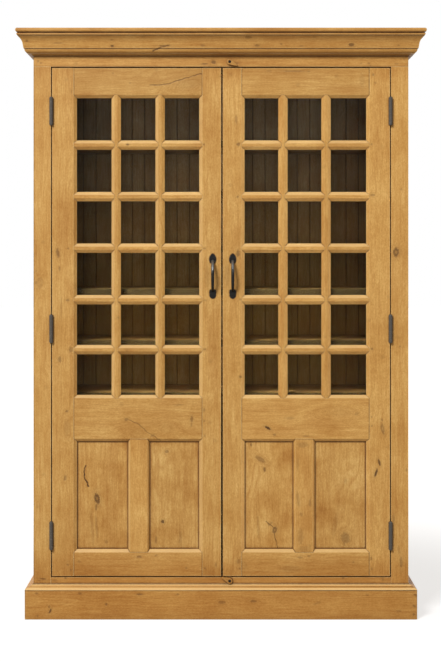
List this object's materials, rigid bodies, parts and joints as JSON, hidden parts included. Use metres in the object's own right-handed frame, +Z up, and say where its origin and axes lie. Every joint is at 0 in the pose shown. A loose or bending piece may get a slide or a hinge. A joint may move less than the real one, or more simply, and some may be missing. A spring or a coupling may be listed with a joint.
{
  "type": "bookcase with glass doors",
  "caption": "Tall pine bookcase with a moulded crown, a plinth and hinged doors that are glazed in small panes above flat panels.",
  "frame": {"origin": "middle of the footprint of the whole box, on the floor", "axes": "+X to the right of someone facing the doors, +Y from the front to the back, +Z up"},
  "size_m": [1.426, 0.475, 2.057],
  "materials": {
    "waxed_pine": "waxed reclaimed pine, satin, with knots and worn edges",
    "stained_pine": "dull brown stain inside the case",
    "glass": "clear window glass",
    "black_iron": "blackened forged iron, slightly hammered",
    "dark_steel": "dark oiled steel"
  },
  "bodies": {
    "case": {"left_side": "waxed_pine", "right_side": "waxed_pine", "left_frame_stile": "waxed_pine", "right_frame_stile": "waxed_pine", "top_frame_rail": "waxed_pine", "bottom_frame_rail": "waxed_pine", "top_board": "waxed_pine", "bottom_board": "stained_pine", "door_stop": "stained_pine", "shelf_1": "stained_pine", "shelf_2": "stained_pine", "shelf_3": "stained_pine", "shelf_4": "stained_pine", "shelf_5": "stained_pine", "shelf_6": "stained_pine", "shelf_battens": "stained_pine", "back_boards": "stained_pine", "crown_front": "waxed_pine", "crown_left": "waxed_pine", "crown_right": "waxed_pine", "plinth_front": "waxed_pine", "plinth_left": "waxed_pine", "plinth_right": "waxed_pine", "plinth_cap": "waxed_pine", "frame_hinge_leaves": "dark_steel", "frame_hinge_screws": "dark_steel", "hinge_pins": "dark_steel", "button_screws": "black_iron"},
    "left_door": {"left_hinge_stile": "waxed_pine", "left_meeting_stile": "waxed_pine", "left_top_rail": "waxed_pine", "left_mid_rail": "waxed_pine", "left_bottom_rail": "waxed_pine", "left_panel_divider": "waxed_pine", "left_panels": "waxed_pine", "left_upright_bars": "waxed_pine", "left_cross_bars": "waxed_pine", "left_glass": "glass", "left_glazing_beads": "waxed_pine", "left_handle": "black_iron", "left_handle_nails": "black_iron", "left_hinge_leaves": "dark_steel", "left_hinge_screws": "dark_steel"},
    "right_door": {"right_hinge_stile": "waxed_pine", "right_meeting_stile": "waxed_pine", "right_top_rail": "waxed_pine", "right_mid_rail": "waxed_pine", "right_bottom_rail": "waxed_pine", "right_panel_divider": "waxed_pine", "right_panels": "waxed_pine", "right_upright_bars": "waxed_pine", "right_cross_bars": "waxed_pine", "right_glass": "glass", "right_glazing_beads": "waxed_pine", "right_handle": "black_iron", "right_handle_nails": "black_iron", "right_hinge_leaves": "dark_steel", "right_hinge_screws": "dark_steel"},
    "top_button": {"top_turn_button": "waxed_pine"},
    "bottom_button": {"bottom_turn_button": "waxed_pine"}
  },
  "joints": [
    {"name": "left_door_hinge", "type": "hinge", "parent": "case", "child": "left_door", "pos_m": [-0.5933, -0.1873, 1.0349], "axis": [0, 0, -1], "range_deg": [0, 180]},
    {"name": "right_door_hinge", "type": "hinge", "parent": "case", "child": "right_door", "pos_m": [0.5933, -0.1873, 1.0349], "axis": [0, 0, 1], "range_deg": [0, 180]},
    {"name": "top_button_turn", "type": "hinge", "parent": "case", "child": "top_button", "pos_m": [0.0304, -0.1854, 1.945], "axis": [0, 1, 0], "range_deg": [-52, 178]},
    {"name": "bottom_button_turn", "type": "hinge", "parent": "case", "child": "bottom_button", "pos_m": [0.0304, -0.1854, 0.1303], "axis": [0, 1, 0], "range_deg": [-36, 172]}
  ]
}
